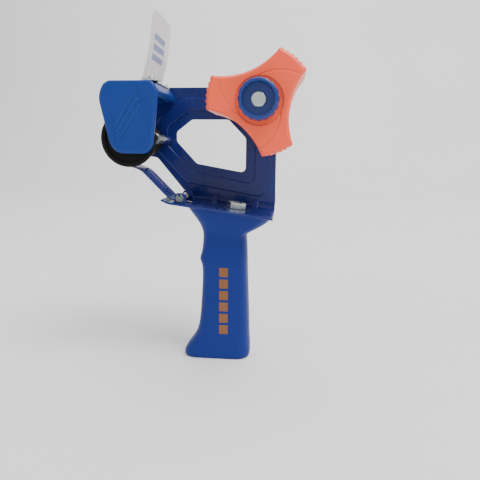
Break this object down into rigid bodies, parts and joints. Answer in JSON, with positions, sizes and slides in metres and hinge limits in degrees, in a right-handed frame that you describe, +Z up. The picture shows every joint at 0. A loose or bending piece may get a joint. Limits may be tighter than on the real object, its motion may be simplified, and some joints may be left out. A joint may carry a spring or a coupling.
{
  "type": "tape dispenser",
  "caption": "Hand-held packing tape dispenser on a pistol handle, with a braked lobed core hub, a guarded blade, a wiper flap, a roller and a sprung tongue.",
  "frame": {"origin": "centre of the handle's flat base, on the surface that the gun stands on", "axes": "+Z up along the handle, +X towards the back of the gun, away from the roller and blade, +Y towards the steel side plate; the open side, where the roll goes on, is at -Y"},
  "size_m": [0.1472, 0.0782, 0.26],
  "materials": {
    "blue_steel": "dark blue gloss paint on pressed sheet steel",
    "handle_plastic": "blue moulded plastic with a fine satin grain",
    "guard_plastic": "lighter blue moulded plastic, satin to gloss",
    "orange_plastic": "coral orange moulded plastic, soft gloss",
    "knob_plastic": "dark blue moulded plastic",
    "black_plastic": "black moulded plastic",
    "black_rubber": "ground black rubber",
    "nylon": "natural nylon",
    "fibre": "pressed brown friction fibre",
    "clear_plastic": "frosted clear sheet",
    "zinc": "bright zinc plate",
    "blade_steel": "ground blade steel",
    "spring_steel": "drawn spring wire"
  },
  "bodies": {
    "frame": {"frame_plate": "blue_steel", "handle": "handle_plastic", "handle_bolt": "zinc", "handle_washer": "zinc", "handle_nut": "zinc", "side_guard": "guard_plastic", "guard_screws": "zinc", "stud_post": "blue_steel", "guide_stud": "zinc", "blade": "blade_steel", "blade_screws": "zinc", "flap_foot": "clear_plastic", "flap_clamp": "blade_steel", "flap_screws": "zinc", "frame_nut": "zinc", "hub_spacer": "zinc", "backing_washer": "zinc", "friction_washer": "fibre", "pressure_washer": "zinc", "brake_spring": "spring_steel", "roller_axle": "zinc", "roller_axle_nut": "zinc", "roller_spacer": "zinc", "tongue_pin": "zinc", "pin_clips": "spring_steel", "tongue_spring": "spring_steel"},
    "hub": {"core_hub": "orange_plastic", "hub_bush": "nylon"},
    "knob_slider": {"thrust_washer": "zinc"},
    "knob": {"tension_knob": "knob_plastic", "tension_bolt": "zinc"},
    "roller": {"roller_core": "black_plastic", "roller_sleeve": "black_rubber"},
    "tongue": {"tongue": "blue_steel"},
    "flap": {"flap": "clear_plastic"}
  },
  "joints": [
    {"name": "hub_spin", "type": "hinge", "parent": "frame", "child": "hub", "pos_m": [0.0327, 0, 0.1972], "axis": [0, 1, 0], "continuous": true},
    {"name": "roller_spin", "type": "hinge", "parent": "frame", "child": "roller", "pos_m": [-0.0624, 0, 0.1712], "axis": [0, 1, 0], "continuous": true},
    {"name": "knob_advance", "type": "slide", "parent": "frame", "child": "knob_slider", "axis": [0, 1, 0], "range_m": [-0.001, 0.001], "deforming": ["brake_spring"]},
    {"name": "knob_turn", "type": "hinge", "parent": "knob_slider", "child": "knob", "pos_m": [0.0327, 0, 0.1972], "axis": [0, 1, 0], "range_deg": [-360, 360]},
    {"name": "tongue_hinge", "type": "hinge", "parent": "frame", "child": "tongue", "pos_m": [-0.0255, 0, 0.1282], "axis": [0, -1, 0], "range_deg": [0, 8], "stiffness_Nm_per_rad": 0.15, "springref_deg": -20.05, "deforming": ["tongue_spring"]},
    {"name": "flap_bend", "type": "hinge", "parent": "frame", "child": "flap", "pos_m": [-0.0506, 0, 0.2123], "axis": [0, 1, 0], "range_deg": [-45, 25], "stiffness_Nm_per_rad": 0.05}
  ],
  "couplings": [
    {"joint": "knob_turn", "follows": "knob_advance", "rad_per_m": 6283.2}
  ]
}
